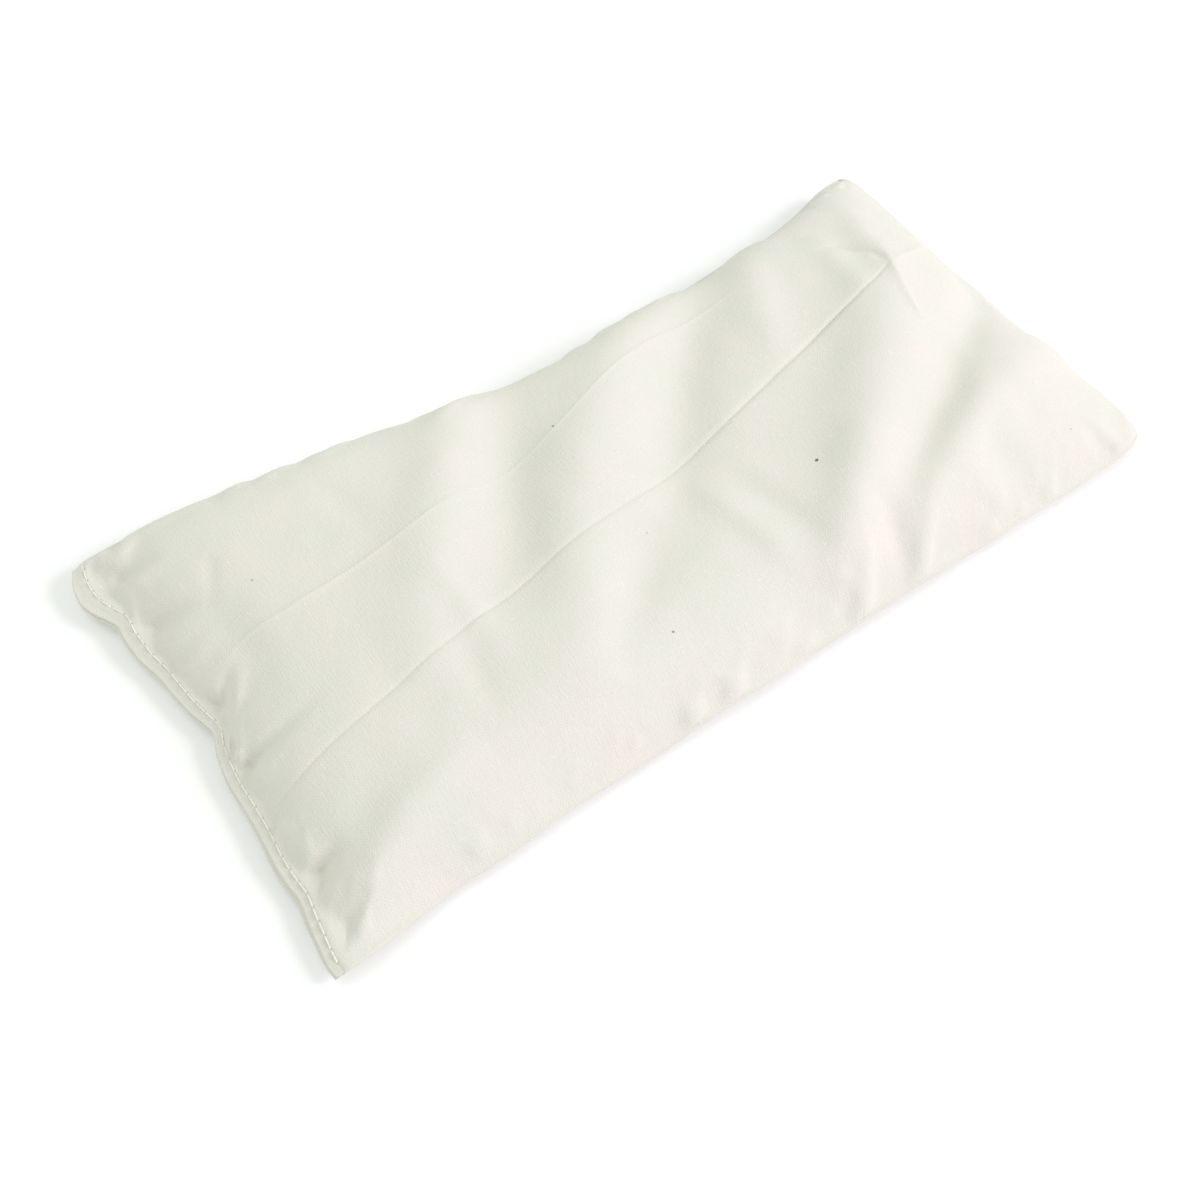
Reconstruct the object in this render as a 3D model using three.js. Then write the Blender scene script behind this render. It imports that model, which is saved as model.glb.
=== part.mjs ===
// Eye pillow: a slack rectangular bag of unbleached calico, filled with loose flaxseed.
//
// It comes apart into two cloth panels, the seed, and the threads of two lockstitched seams.
// The side seam joins the panels right sides together, in one U round the near side, the blind
// end and the far side, and the bag is then turned, so its allowances lie inside. The closing
// seam shuts the filling end: both raw edges are turned in there and topstitched flat.
//
// Millimetres, +Z up. X runs from the closing seam (-X) to the blind end (+X), Y from the near
// side to the far side. The origin is under the middle of the bag, on the surface it lies on.
import * as THREE from 'three';

// Driving dimensions of the filled bag
const LENGTH = 223; // closing seam to blind end, before the corners are blunted
const WIDTH = 109; // near side to far side, likewise
const THICKNESS = 20; // at the fullest point, without the ridges of the seed
const SEAM_HEIGHT = 3.6; // mid-plane of the seams above the surface

// The fill shortens the bag more in the middle of each edge than at the corners
const FAR_PULL = 11.5;
const FAR_PULL_AT = 0.05; // where it is deepest, from -1 at the closing seam to 1
const NEAR_PULL = 1.5;
const END_PULL = 2;
const CLOSING_PINCH = 3.5; // a pinched place in the middle of the closing seam
const PINCH_HALF_WIDTH = 9;
const CORNER_PULL = 1.2; // bluntness of the turned corners

// Cloth and thread
const CLOTH = 0.4; // thickness of the calico
const ALLOWANCE = 8; // turned-in cloth inside every seam
const GAP = 0.3; // clearance between pieces that lie on each other
const FOLD_RADIUS = 0.5; // middle of the cloth where it turns in
const HEM = 4.6; // flat band at the closing seam, before the bag opens out
const STITCH_INSET = 3.4; // closing stitches to the folded edge
const STITCH_PITCH = 3; // length of one closing stitch
const STITCH_ARCH = 0.3; // rise of each stitch between its holes
const THREAD = 0.3; // diameter of the sewing thread
const SIDE_THREAD_INSET = 1.6; // side seam's threads to the folded edge

// Shape of the filled bag
const LONG_FULLNESS = 6; // higher powers keep the bag full for longer towards its edges
const CROSS_FULLNESS = 4.5;
const UNDERSIDE_ROLL = 14; // the underside leaves the surface this far from the edges

// Ridges in the settled seed, each a straight crest seen from above
const RIDGE_HEIGHT = 1.3;
const RIDGE_HALF_WIDTH = 11;
const RIDGES = [
  { from: [-70, -30], to: [-22, 34] },
  { from: [-34, -22], to: [22, 34] },
  { from: [28, -42], to: [88, 20] },
  { from: [58, -38], to: [106, -14] },
];

// Fineness of the faceted solids
const STEPS_LONG = 30;
const STEPS_CROSS = 18;
const FOLD_STEPS = 3;
const THREAD_SIDES = 5;
const STEPS_PER_STITCH = 4;
const SIDE_SEAM_STEPS = [24, 12, 24]; // near side, blind end, far side

const FOLD_OUTER = FOLD_RADIUS + CLOTH / 2;
const FOLD_INNER = FOLD_RADIUS - CLOTH / 2;
const FOLD_RISE = GAP / 2 + CLOTH / 2 + FOLD_RADIUS; // seam mid-plane to the middle of a fold
const CLOTH_RISE = FOLD_RISE + FOLD_RADIUS; // seam mid-plane to the middle of the outer cloth

const CALICO = { color: 0xe9e6db, roughness: 0.92, metalness: 0 };
const SEWING_THREAD = { color: 0xf1eddf, roughness: 0.7, metalness: 0 };
const SEED = { color: 0x6e4526, roughness: 0.45, metalness: 0 };

const { lerp, smoothstep, clamp } = THREE.MathUtils;

// A place on the bag is (a, b): a from -1 at the closing seam to 1 at the blind end, b from -1 at
// the near side to 1 at the far side. This is where it lies in plan.
function plan(a, b) {
  const beyond = Math.max(a - FAR_PULL_AT, 0) / (1 - FAR_PULL_AT);
  const farBow = smoothstep(a, -0.8, FAR_PULL_AT) * (1 - beyond * beyond);
  const far = (FAR_PULL * farBow * (1 + b)) / 2;
  const near = (NEAR_PULL * (1 - a * a) * (1 - b)) / 2;
  const end = END_PULL * (1 - b * b);
  const pinch = CLOSING_PINCH * Math.exp(-(((b * WIDTH) / 2 / PINCH_HALF_WIDTH) ** 2));
  const blunt = CORNER_PULL * Math.abs(a * b) ** 20;
  return {
    x: a * (LENGTH / 2 - end) + (a < 0 ? pinch * a ** 6 : 0) - Math.sign(a) * blunt,
    y: (b * WIDTH) / 2 - far + near - Math.sign(b) * blunt,
  };
}

// The place (u, v) of the outline or within it, when the whole outline is drawn in by inset.
function drawnIn(u, v, inset) {
  return [u * (1 - (2 * inset) / LENGTH), v * (1 - (2 * inset) / WIDTH)];
}

// From 0 at the folded edges to 1 where the bag is fullest.
function fullness(a, b) {
  const shut = a < 0 ? HEM : FOLD_OUTER;
  const along = clamp(Math.abs(a) / (1 - (2 * shut) / LENGTH), 0, 1);
  const across = clamp(Math.abs(b) / (1 - (2 * FOLD_OUTER) / WIDTH), 0, 1);
  return (1 - along ** LONG_FULLNESS) * (1 - across ** CROSS_FULLNESS);
}

// Height of the ridges in the seed, over a point in plan.
function ridges(x, y) {
  return RIDGES.reduce((height, { from: [x0, y0], to: [x1, y1] }) => {
    const run = Math.hypot(x1 - x0, y1 - y0);
    const t = clamp(((x - x0) * (x1 - x0) + (y - y0) * (y1 - y0)) / run ** 2, 0, 1);
    const away = Math.hypot(x - lerp(x0, x1, t), y - lerp(y0, y1, t)) / RIDGE_HALF_WIDTH;
    return height + RIDGE_HEIGHT * Math.exp(-away * away);
  }, 0);
}

// Middle of the upper panel's cloth, over the seed.
function upperCloth(a, b) {
  const seam = SEAM_HEIGHT + CLOTH_RISE;
  const { x, y } = plan(a, b);
  return seam + (THICKNESS - CLOTH / 2 - seam + ridges(x, y)) * fullness(a, b);
}

// Middle of the lower panel's cloth: flat on the surface, rolling up to the seam near the edges.
function lowerCloth(a, b) {
  const seam = SEAM_HEIGHT - CLOTH_RISE;
  const shut = a < 0 ? HEM : FOLD_OUTER;
  const fromEnd = ((1 - Math.abs(a)) * LENGTH) / 2 - shut;
  const fromSide = ((1 - Math.abs(b)) * WIDTH) / 2 - FOLD_OUTER;
  const resting = smoothstep(fromEnd, 0, UNDERSIDE_ROLL) * smoothstep(fromSide, 0, UNDERSIDE_ROLL);
  return lerp(seam, CLOTH / 2, resting);
}

// The surface that lies the given distance above the middle of a cloth, square to the cloth.
function over(cloth, distance) {
  return (a, b) => {
    const step = 1e-3;
    const slopeX = (cloth(a + step, b) - cloth(a - step, b)) / (step * LENGTH);
    const slopeY = (cloth(a, b + step) - cloth(a, b - step)) / (step * WIDTH);
    const { x, y } = plan(a, b);
    return new THREE.Vector3(x, y, cloth(a, b) + distance * Math.hypot(1, slopeX, slopeY));
  };
}

// Spreads n + 1 values from -1 to 1, closer together towards both ends.
function crowded(n) {
  return Array.from({ length: n + 1 }, (_, i) => Math.sin((i / n - 0.5) * Math.PI));
}

function solid(points, faces) {
  const geometry = new THREE.BufferGeometry().setFromPoints(points);
  geometry.setIndex(faces);
  geometry.computeVertexNormals();
  return geometry;
}

// A closed body: an upper sheet, a lower sheet, and rings that join their edges round the outside.
// Each sheet is { surface, inset }, and each ring is { inset, z }, listed from the upper sheet down.
function layeredBody(upper, rings, lower) {
  const us = crowded(STEPS_LONG);
  const vs = crowded(STEPS_CROSS);
  const edge = [];
  for (let i = 0; i < STEPS_LONG; i += 1) edge.push([i, 0]);
  for (let j = 0; j < STEPS_CROSS; j += 1) edge.push([STEPS_LONG, j]);
  for (let i = STEPS_LONG; i > 0; i -= 1) edge.push([i, STEPS_CROSS]);
  for (let j = STEPS_CROSS; j > 0; j -= 1) edge.push([0, j]);

  const points = [];
  const faces = [];
  const quad = (p, q, r, s) => faces.push(p, q, r, p, r, s);

  const addSheet = ({ surface, inset }, facingUp) => {
    const first = points.length;
    const at = (i, j) => first + i * (STEPS_CROSS + 1) + j;
    us.forEach((u) => vs.forEach((v) => points.push(surface(...drawnIn(u, v, inset)))));
    for (let i = 0; i < STEPS_LONG; i += 1) {
      for (let j = 0; j < STEPS_CROSS; j += 1) {
        if (facingUp) quad(at(i, j), at(i + 1, j), at(i + 1, j + 1), at(i, j + 1));
        else quad(at(i, j), at(i, j + 1), at(i + 1, j + 1), at(i + 1, j));
      }
    }
    return edge.map(([i, j]) => at(i, j));
  };

  const addRing = ({ inset, z }) =>
    edge.map(([i, j]) => {
      const { x, y } = plan(...drawnIn(us[i], vs[j], inset));
      return points.push(new THREE.Vector3(x, y, z)) - 1;
    });

  const loops = [addSheet(upper, true), ...rings.map(addRing), addSheet(lower, false)];
  loops.slice(1).forEach((below, k) => {
    const above = loops[k];
    below.forEach((_, i) => {
      const next = (i + 1) % below.length;
      quad(above[i], below[i], below[next], above[next]);
    });
  });
  return solid(points, faces);
}

// Rings round a fold whose middle is at height z, between one side of it and the other.
function foldRings(z, radius, fromDegrees, toDegrees) {
  return Array.from({ length: FOLD_STEPS - 1 }, (_, k) => {
    const angle = THREE.MathUtils.degToRad(lerp(fromDegrees, toDegrees, (k + 1) / FOLD_STEPS));
    return { inset: FOLD_OUTER - radius * Math.cos(angle), z: z + radius * Math.sin(angle) };
  });
}

// One panel: its cloth over or under the seed, the fold at its edge, and the allowance turned in.
// side is 1 for the upper panel and -1 for the lower one.
function panel(cloth, side) {
  const fold = SEAM_HEIGHT + side * FOLD_RISE;
  const turnedIn = (radius, inset) => ({ inset, z: fold - side * radius });
  const rings = [
    ...foldRings(fold, FOLD_OUTER, 90 * side, -90 * side),
    turnedIn(FOLD_OUTER, FOLD_OUTER),
    turnedIn(FOLD_OUTER, ALLOWANCE),
    turnedIn(FOLD_INNER, ALLOWANCE),
    turnedIn(FOLD_INNER, FOLD_OUTER),
    ...foldRings(fold, FOLD_INNER, -90 * side, 90 * side),
  ];
  const outside = { surface: over(cloth, (side * CLOTH) / 2), inset: FOLD_OUTER };
  const inside = { surface: over(cloth, (-side * CLOTH) / 2), inset: FOLD_OUTER };
  if (side > 0) return layeredBody(outside, rings, inside);
  return layeredBody(inside, rings.reverse(), outside);
}

// The seed fills the bag over and between the allowances, clear of all the cloth.
function seedFill() {
  const clearance = CLOTH / 2 + GAP;
  const overAllowance = SEAM_HEIGHT + FOLD_RISE - FOLD_INNER + GAP;
  const insideHem = HEM + 1.6;
  const insideAllowance = ALLOWANCE + GAP;
  return layeredBody(
    { surface: over(upperCloth, -clearance), inset: insideHem },
    [
      { inset: insideHem, z: overAllowance },
      { inset: insideAllowance, z: overAllowance },
    ],
    { surface: over(lowerCloth, clearance), inset: insideAllowance },
  );
}

// A sewing thread along a list of points, none of them steep.
function thread(path) {
  const points = [];
  const faces = [];
  const up = new THREE.Vector3(0, 0, 1);
  path.forEach((centre, i) => {
    const ahead = path[Math.min(i + 1, path.length - 1)];
    const along = ahead.clone().sub(path[Math.max(i - 1, 0)]).normalize();
    const sideways = up.clone().cross(along).normalize();
    const normal = along.clone().cross(sideways);
    for (let k = 0; k < THREAD_SIDES; k += 1) {
      const angle = (k / THREAD_SIDES) * 2 * Math.PI;
      const rim = centre.clone().addScaledVector(sideways, (THREAD / 2) * Math.cos(angle));
      points.push(rim.addScaledVector(normal, (THREAD / 2) * Math.sin(angle)));
    }
  });
  const at = (i, k) => i * THREAD_SIDES + (k % THREAD_SIDES);
  for (let k = 0; k < THREAD_SIDES; k += 1) {
    for (let i = 0; i < path.length - 1; i += 1) {
      faces.push(at(i, k), at(i, k + 1), at(i + 1, k + 1), at(i, k), at(i + 1, k + 1), at(i + 1, k));
    }
  }
  for (let k = 1; k < THREAD_SIDES - 1; k += 1) {
    faces.push(at(0, 0), at(0, k + 1), at(0, k));
    const last = path.length - 1;
    faces.push(at(last, 0), at(last, k), at(last, k + 1));
  }
  return solid(points, faces);
}

// Closing seam: the thread arches from needle hole to needle hole over the hem, or under it.
function closingThread(side) {
  const hemFace = SEAM_HEIGHT + side * (CLOTH_RISE + CLOTH / 2 + GAP + THREAD / 2);
  const stitches = Math.floor((WIDTH - 2 * FOLD_OUTER) / STITCH_PITCH) - 1;
  const steps = stitches * STEPS_PER_STITCH;
  const path = Array.from({ length: steps + 1 }, (_, i) => {
    const b = ((i / steps - 0.5) * stitches * STITCH_PITCH) / (WIDTH / 2);
    const { x, y } = plan(-1 + (2 * STITCH_INSET) / LENGTH, b);
    const rise = STITCH_ARCH * Math.abs(Math.sin((i / STEPS_PER_STITCH) * Math.PI));
    return new THREE.Vector3(x, y, hemFace + side * rise);
  });
  return thread(path);
}

// Side seam: one thread round the near side, the blind end and the far side, inside the folds.
function sideThread(side) {
  const z = SEAM_HEIGHT + side * FOLD_RISE;
  const start = -1 + (2 * ALLOWANCE) / LENGTH;
  const corners = [[start, -1], [1, -1], [1, 1], [start, 1]];
  const path = SIDE_SEAM_STEPS.flatMap((steps, k) => {
    const [[u0, v0], [u1, v1]] = [corners[k], corners[k + 1]];
    return Array.from({ length: steps }, (_, i) => {
      const t = (i + 0.5) / steps;
      const { x, y } = plan(...drawnIn(lerp(u0, u1, t), lerp(v0, v1, t), SIDE_THREAD_INSET));
      return new THREE.Vector3(x, y, z);
    });
  });
  return thread(path);
}

function piece(name, geometry, look) {
  const mesh = new THREE.Mesh(geometry, new THREE.MeshStandardMaterial(look));
  mesh.name = name;
  return mesh;
}

const pillow = new THREE.Group();
pillow.name = 'eye_pillow';
pillow.add(
  piece('upper_panel', panel(upperCloth, 1), CALICO),
  piece('lower_panel', panel(lowerCloth, -1), CALICO),
  piece('flaxseed_fill', seedFill(), SEED),
  piece('closing_seam_needle_thread', closingThread(1), SEWING_THREAD),
  piece('closing_seam_bobbin_thread', closingThread(-1), SEWING_THREAD),
  piece('side_seam_needle_thread', sideThread(1), SEWING_THREAD),
  piece('side_seam_bobbin_thread', sideThread(-1), SEWING_THREAD),
);

// The drawn-in edges leave the bag off centre: the origin goes under the middle of its box.
const box = new THREE.Box3().setFromObject(pillow);
const { x: middleX, y: middleY } = box.getCenter(new THREE.Vector3());
pillow.children.forEach(({ geometry }) => geometry.translate(-middleX, -middleY, -box.min.z));

export default pillow;
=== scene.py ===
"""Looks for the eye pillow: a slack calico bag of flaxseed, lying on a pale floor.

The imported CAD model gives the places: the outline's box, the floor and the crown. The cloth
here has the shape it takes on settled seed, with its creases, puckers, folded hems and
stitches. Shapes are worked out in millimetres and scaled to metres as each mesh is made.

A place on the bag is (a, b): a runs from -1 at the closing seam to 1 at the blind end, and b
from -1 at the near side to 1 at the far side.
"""

import math

import bpy
import numpy as np
from mathutils import Matrix, Vector

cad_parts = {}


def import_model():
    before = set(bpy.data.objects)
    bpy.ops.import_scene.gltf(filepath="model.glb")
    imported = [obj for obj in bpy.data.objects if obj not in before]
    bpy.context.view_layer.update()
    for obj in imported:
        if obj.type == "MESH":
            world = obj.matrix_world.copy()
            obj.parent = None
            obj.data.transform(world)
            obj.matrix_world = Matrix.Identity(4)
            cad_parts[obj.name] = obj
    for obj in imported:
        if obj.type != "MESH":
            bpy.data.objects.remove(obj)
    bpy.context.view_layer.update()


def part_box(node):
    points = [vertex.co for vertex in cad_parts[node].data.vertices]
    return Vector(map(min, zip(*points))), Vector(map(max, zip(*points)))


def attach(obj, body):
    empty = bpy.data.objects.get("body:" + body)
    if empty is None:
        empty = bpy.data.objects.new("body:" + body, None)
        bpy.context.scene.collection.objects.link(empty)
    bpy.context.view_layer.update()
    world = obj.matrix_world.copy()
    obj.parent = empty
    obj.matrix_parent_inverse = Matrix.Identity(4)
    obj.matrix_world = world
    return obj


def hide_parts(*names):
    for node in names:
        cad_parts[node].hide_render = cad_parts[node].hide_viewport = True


MM = 0.001

# Cloth, as sewn, in mm
CLOTH = 0.28  # thickness
FOLD_RADIUS = 0.35  # outside of the turned-in edges
PLY_GAP = 0.06  # between the two panels at their seams
HALF_SEAM = FOLD_RADIUS * 2 + PLY_GAP / 2  # from the seam's middle to either panel's face
ALLOWANCE = 8.0
HEM = 2.8  # flat band at the closing seam
HEM_DROOP = 0.8
YARN_PITCH = 0.36  # one yarn of the weave to the next
SLUB_LENGTH = 2.5

# Topstitch, in mm
STITCH_INSET = 2.1  # at the middle of the closing seam
STITCH_SLANT = 0.7  # more at the far side, less at the near one
STITCH_PITCH = 3.0
STITCH_END = 2.0  # from the bag's side to the topstitch's first hole
STITCH_DIP = -0.2  # the thread's middle in a hole, from the cloth's face
STITCH_CREST = 0.42  # the same at the top of a stitch, in thread diameters
STITCH_HOLD = 0.3  # how far inside the topstitch the cloth is still held down
STEPS_PER_STITCH = 14
THREAD = 0.34
TWIST_PITCH = 2.6  # in thread diameters
PLY_SHIFT = 0.23  # each ply's middle from the thread's, and its radius, in thread diameters
PLY_RADIUS = 0.29

# Hidden seam, in mm
SIDE_STITCH_INSET = 1.6
SIDE_STITCH_START = -0.88  # the place along the bag where the hidden seam meets the hem
SIDE_STEP = 0.5
SIDE_THREAD = 0.14

# Cells of the cloth's mesh, and of the seed's
CELLS_LONG = 270
CELLS_CROSS = 140
SEED_CELLS_LONG = 240
SEED_CELLS_CROSS = 112

# Seed, in mm
SEED_LENGTH = 4.4
SEED_WIDTH = 2.3
SEED_RISE = 0.55  # how far a seed stands out of the body
SEED_GAP = 0.75  # clear of the cloth
SEED_FROM_END = 9.5
SEED_FROM_SIDE = 5.5
SEED_EDGE = 0.3  # least half thickness at the body's edge
SEED_PACKING = 0.72, 0.8  # one seed to the next, along and across, in its lengths and widths
SEED_STRAY = 0.7  # spread of its stray from an even place, in places
SEED_TURN = 2.2  # spread of its turn, in radians
SEEDED_AREA = 130, 70  # half the area that seeds cover, along and across

# Colours, linear
CALICO_WARM = (0.745, 0.715, 0.675, 1)
CALICO_COOL = (0.72, 0.715, 0.664, 1)
CALICO_PALE = (1.0, 0.99, 0.97, 1)
# painted shade for the weave's low places between its yarns
CALICO_GAP_SHADE = (0.72, 0.69, 0.6, 1)
HUSK = (0.12, 0.1, 0.09, 1)
SLUB_PALE = (1, 0.985, 0.94, 1)
# painted shade in the topstitch's needle holes
PAINTED_HOLE_SHADE = (0.2, 0.18, 0.12, 1)
THREAD_PALE = (0.95, 0.93, 0.87, 1)
THREAD_SHADE = (0.84, 0.81, 0.72, 1)
SEED_DARK = (0.09, 0.032, 0.012, 1)
SEED_TAN = (0.24, 0.1, 0.035, 1)
# painted shade between the seeds
SEED_GAP_SHADE = (0.03, 0.012, 0.005, 1)

# Camera: angles in degrees, target and distance in mm, lens in mm on a 36 mm sensor
AZIMUTH, ELEVATION, ROLL = -41.09, 56.48, 4.95
CAMERA_TARGET = -23.3, -15.7, 3.0
CAMERA_DISTANCE = 303.0
SENSOR, LENS = 36.0, 42.62

# Lights, as (name, place in m, disk's diameter in m, watts, colour)
LIGHTS = [
    ("key", (1.25, -0.82, 1.0), 0.75, 18.5, (0.985, 0.93, 0.985)),
    ("fill", (-0.35, 0.45, 0.9), 0.9, 2.6, (0.96, 1.0, 0.94)),
    ("near_glow", (0.2, -1.0, 0.25), 0.7, 0.85, (0.95, 0.65, 1.0)),
]
WORLD_COLOUR, WORLD_STRENGTH = (0.95, 1.0, 0.93, 1), 0.69
FLOOR_GLOW = 0.17  # a softly backlit sweep
FLOOR_REACH = 6.0  # in m, from its middle to each side

# Needle holes and the line they pull in: in mm from the middle, where each starts to fade and
# where it is gone
HOLE_FADE = 0.1, 0.34
CHANNEL_FADE = 0.1, 0.45

# Husk specks: fine ones at random, as a pitch in mm, the radii they fade between in pitches and
# their darkness, then the bigger ones, as (x, y, radius in mm, darkness)
FINE_SPECKS = 21, 0.006, 0.011, 0.55
SPECKS = [
    (30.0, -19.8, 0.45, 0.95),
    (-21.0, -37.0, 0.3, 0.7),
    (-11.0, -12.0, 0.3, 0.3),
    (-11.0, 26.0, 0.35, 0.65),
    (-83.5, 22.5, 0.35, 0.3),
]


# ---------------------------------------------------------------- curves and noise

# The area that random patches cover: its size in mm, and how far its corner is from the origin.
# Then how far either way random waves go.
PATCHED_AREA, PATCHED_CORNER = (320, 200), (150, 90)
WAVY_REACH = 130


def smooth_step(t):
    """0 below 0, 1 above 1, and a smooth rise between."""
    t = np.clip(t, 0, 1)
    return t * t * (3 - 2 * t)


def smooth_curve(knots):
    """A smooth function through (position, value) knots, level at both ends."""
    at, value = np.array(knots, float).T
    slope = np.gradient(value, at)
    slope[0] = slope[-1] = 0

    def curve(t):
        k = np.clip(np.searchsorted(at, t) - 1, 0, len(at) - 2)
        run = at[k + 1] - at[k]
        s = np.clip((t - at[k]) / run, 0, 1)
        start = (1 + 2 * s) * (1 - s) ** 2 * value[k] + s * (1 - s) ** 2 * run * slope[k]
        end = s * s * (3 - 2 * s) * value[k + 1] + s * s * (s - 1) * run * slope[k + 1]
        return start + end

    return curve


def wavy(t, rise, pitch, seed):
    """A smooth random wave at lengths t, between -rise and rise, that turns every pitch mm."""
    rng = np.random.default_rng(seed)
    at = np.arange(-WAVY_REACH, WAVY_REACH + pitch, pitch)
    return rise * smooth_curve(np.column_stack([at, rng.uniform(-1, 1, len(at))]))(t)


def patchy(x, y, size, seed):
    """Smooth random unevenness over the plan, between -1 and 1, in patches about size mm across."""
    rng = np.random.default_rng(seed)
    lattice = rng.uniform(-1, 1, [int(reach / size) + 2 for reach in PATCHED_AREA])
    gx, gy = (x + PATCHED_CORNER[0]) / size, (y + PATCHED_CORNER[1]) / size
    i, j = np.floor(gx).astype(int), np.floor(gy).astype(int)
    s, t = smooth_step(gx - i), smooth_step(gy - j)
    low = lattice[i, j] * (1 - s) + lattice[i + 1, j] * s
    high = lattice[i, j + 1] * (1 - s) + lattice[i + 1, j + 1] * s
    return low * (1 - t) + high * t


def along_line(x, y, line):
    """Each point's distance from a line of points, and how far along the line it is, 0 to 1."""
    line = np.array(line, float)
    runs = np.hypot(*np.diff(line, axis=0).T)
    done = np.concatenate([[0], np.cumsum(runs)])
    nearest = np.full(x.shape, 1e9)
    along = np.zeros(x.shape)
    for (x0, y0), (x1, y1), run, before in zip(line, line[1:], runs, done):
        t = np.clip(((x - x0) * (x1 - x0) + (y - y0) * (y1 - y0)) / run**2, 0, 1)
        away = np.hypot(x - x0 - t * (x1 - x0), y - y0 - t * (y1 - y0))
        closer = away < nearest
        nearest = np.where(closer, away, nearest)
        along = np.where(closer, (before + t * run) / done[-1], along)
    return nearest, along


# A stroke is (rise, half width, line): its height or depth and half its width in mm, and the line
# of (x, y) points in plan, in mm, that it follows


def dune(x, y, rise, half_width, line):
    """A long smooth swelling, or a hollow, that dies away at both ends of its line."""
    away, along = along_line(x, y, line)
    ends = np.sin(np.pi * np.clip(along, 0, 1)) ** 0.7
    return rise * np.exp(-((away / half_width) ** 2)) * ends


def crease(x, y, rise, half_width, line):
    """A pressed line with a sharp crest, fainter towards its ends."""
    away, along = along_line(x, y, line)
    ends = smooth_step(along / 0.25) * smooth_step((1 - along) / 0.25)
    return rise * np.exp(-away / half_width) * ends


def pucker(x, y, rise, half_width, line):
    """A fold that starts at a seam at full height, and dies away along its line."""
    away, along = along_line(x, y, line)
    return rise * np.exp(-((away / half_width) ** 2)) * (1 - along) ** 1.3


def summed(shape, strokes, x, y):
    """The strokes' total height at each point, all of one shape: dune, crease or pucker."""
    return sum(shape(x, y, *stroke) for stroke in strokes)


# ---------------------------------------------------------------- the bag's shape

# How far each edge is drawn in, in mm, at places along it from -1 to 1
FAR_EDGE = smooth_curve(
    [(-1, 0), (-0.78, 0), (-0.46, 4.3), (-0.2, 9.3), (0.03, 11.6), (0.28, 10.3), (0.55, 7.8)]
    + [(0.78, 5.4), (0.94, 1.0), (1, 0)]
)
NEAR_EDGE = smooth_curve(
    [(-1, 0.2), (-0.85, 1.8), (-0.5, 2.9), (-0.2, 2.6), (0.2, 1.9), (0.6, 0.9), (1, 0)]
)
CLOSING_EDGE = smooth_curve(
    [(-1, -0.9), (-0.93, -0.6), (-0.78, 0.8), (-0.69, 1.8), (-0.61, 1.6), (-0.46, 2.0)]
    + [(-0.28, 2.7), (-0.09, 3.4), (-0.01, 4.4), (0.045, 5.6), (0.1, 5.2), (0.185, 4.2)]
    + [(0.28, 3.4), (0.37, 2.9), (0.5, 1.9), (0.6, 1.4), (0.66, 1.6), (0.71, 0.5)]
    + [(0.76, -0.8), (0.84, -1.8), (0.93, -1.4), (1, -0.4)]
)
UNDER_HEM = smooth_curve(  # how much further out the lower panel's hem lies
    [(-1, 0.2), (-0.9, 0.4), (-0.6, 0.7), (-0.5, 0.6), (-0.2, 0.3), (0.05, 0.2), (0.4, 0.2)]
    + [(0.7, 0.3), (0.85, 0.1), (1, 0)]
)
BLIND_EDGE = smooth_curve([(-1, 0.4), (-0.6, 0.2), (0.0, 1.6), (0.5, 1.2), (0.9, 0.8), (1, 1.2)])

# Higher powers keep the bag full for longer towards its edges: the closing end and the blind
# one, then the near side and the far one
END_FULLNESS = 3.5, 8.0
SIDE_FULLNESS = 5.2, 10.0
WALL_FULLNESS = 9.0  # the short steep part at each end
WALL_SHARE = 0.65  # of the rise from the seam that the steep part has
DUNE_SCALE = 1.25  # all the dunes' rises are this much more than their strokes say
DUNE_ROOM = 4.2  # from the crown of the even bag up to the tallest dune
LUMPS = [(0.35, 26, 30), (0.32, 13, 31), (0.13, 6, 32)]  # rise and size in mm, then the seed

# Random waviness of the edges and of the seams' height, as (rise and pitch in mm, seed)
NEAR_WAVES, FAR_WAVES = (0.25, 9, 11), (0.3, 12, 12)
CLOSING_WAVES, BLIND_WAVES = (0.2, 6, 13), (0.25, 8, 14)
SIDE_LIFT, END_LIFT = (0.3, 14, 21), (0.35, 7, 22)

# How quickly the dunes rise from the seams, and how quickly the puckers do, across the bag and
# along it, then the pinches
DUNE_EASE = 2.2
PUCKER_EASE = 16, 55
PINCH_EASE = 60

CORNER_BLUNT = 2.4, 0.8  # how far the blind end's corners are rounded off, and the closing end's
LAID_WIDTH = 15.0  # how far in from its edges the lower panel comes down to the floor
LAID_RIPPLE = 0.3, 9, 41  # its rise and size in mm there, then the seed

# Height of the seam's middle above the floor, along each edge
NEAR_SEAM = smooth_curve([(-1, 3.4), (-0.8, 2.6), (0.0, 2.4), (0.8, 2.6), (1, 3.2)])
FAR_SEAM = smooth_curve([(-1, 4.2), (-0.7, 3.8), (0.0, 4.4), (0.8, 4.6), (1, 6.0)])

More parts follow.
